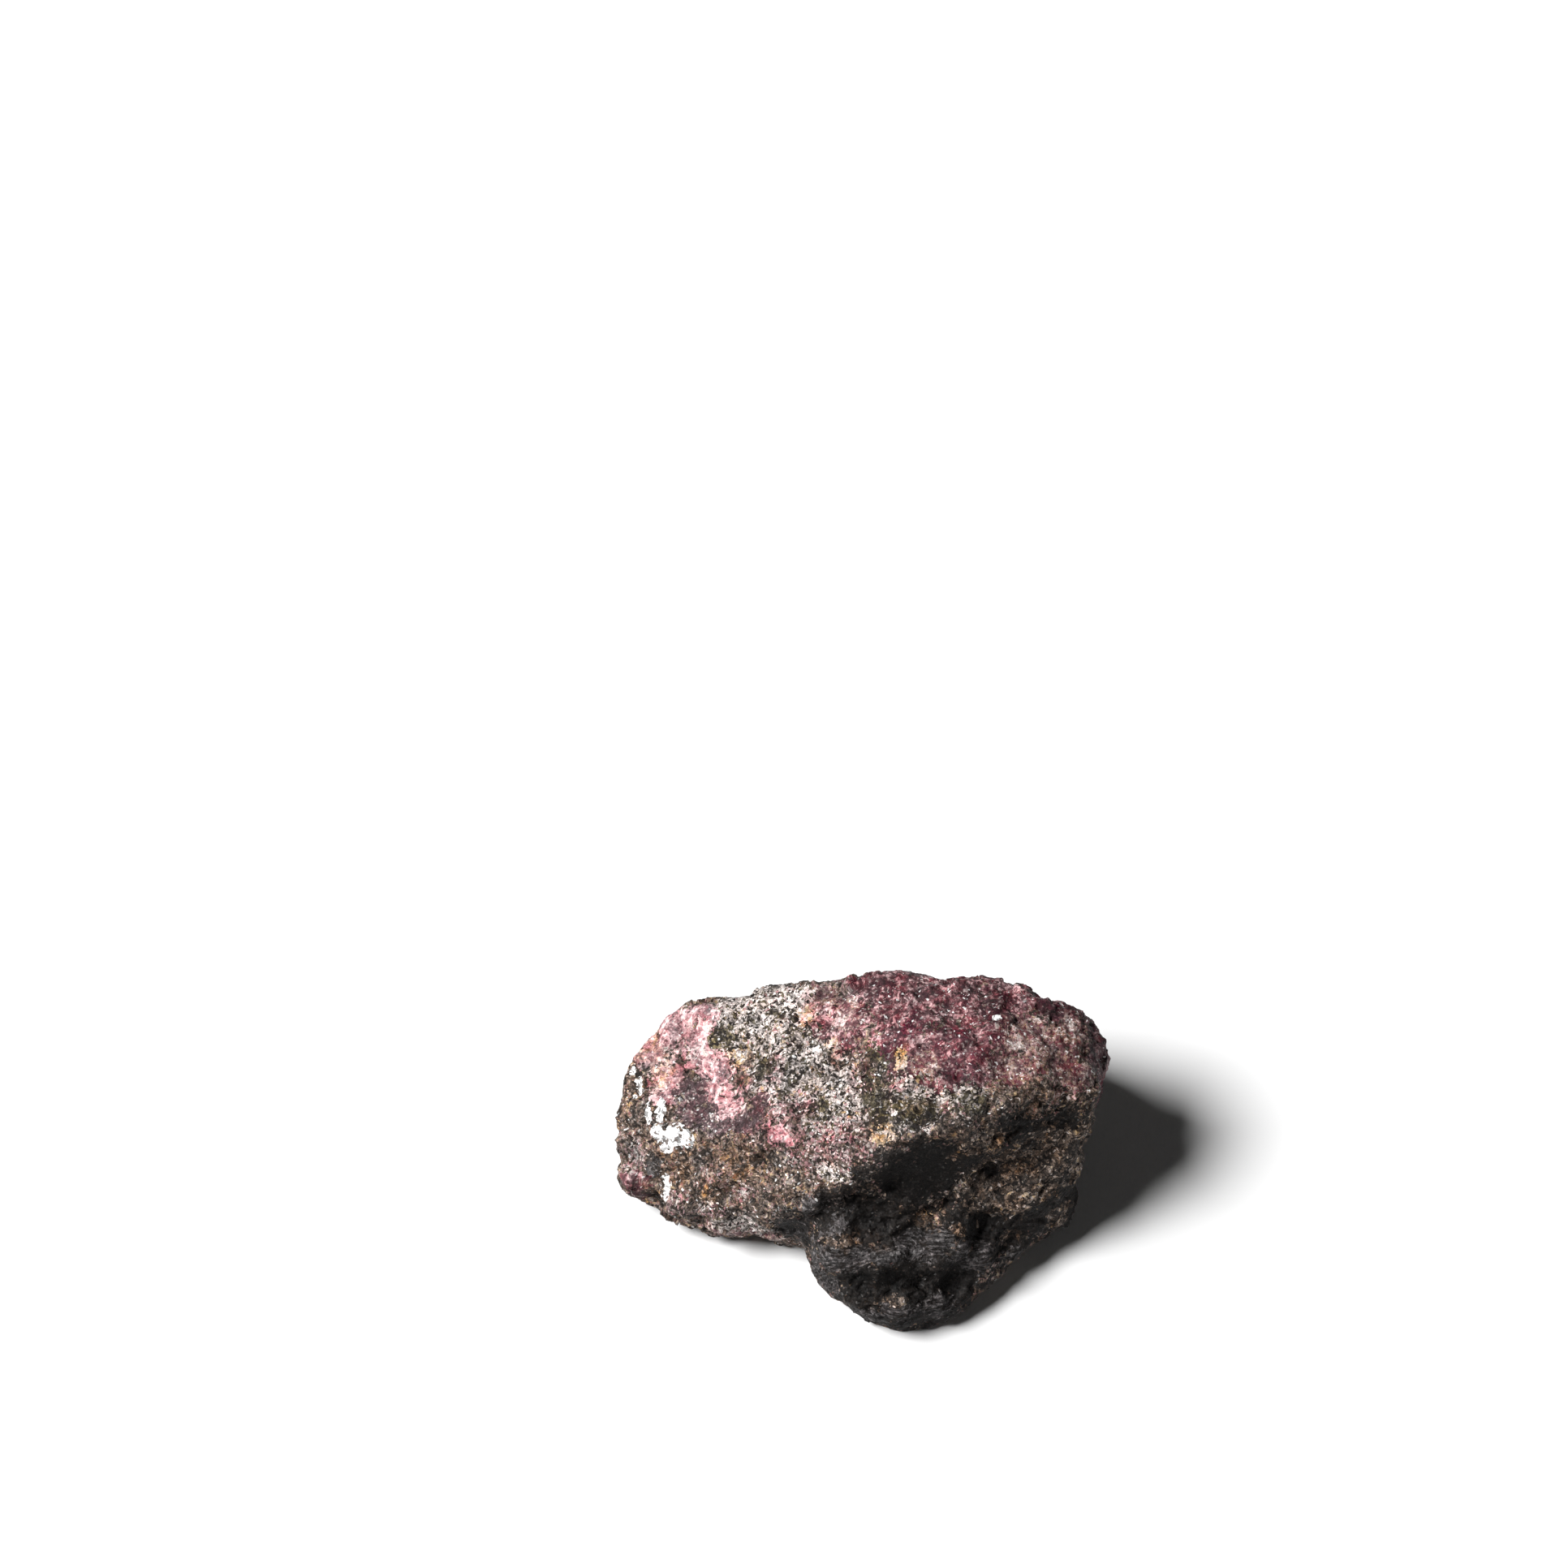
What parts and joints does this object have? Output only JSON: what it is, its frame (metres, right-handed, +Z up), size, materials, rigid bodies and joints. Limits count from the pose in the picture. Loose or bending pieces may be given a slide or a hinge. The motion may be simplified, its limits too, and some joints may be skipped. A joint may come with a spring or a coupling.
{
  "type": "rough rhodonite stone",
  "caption": "Rough broken stone of pink and grey-black rhodonite rock, with a ridge, a hollow and a bulge in front, resting on one flat broken face.",
  "frame": {"origin": "middle of the bounding box in plan, on the surface that the stone rests on", "axes": "+X along the long side, +Y away from the viewer who faces the dark bulge, +Z up"},
  "size_m": [0.05, 0.035, 0.0248],
  "materials": {
    "rhodonite": "rough broken rock with fine sparkling grains: mauve-pink above, pepper-and-salt grey in the middle, brown at the left foot, charcoal in front"
  },
  "bodies": {
    "root": {"rhodonite_stone": "rhodonite"}
  },
  "joints": []
}
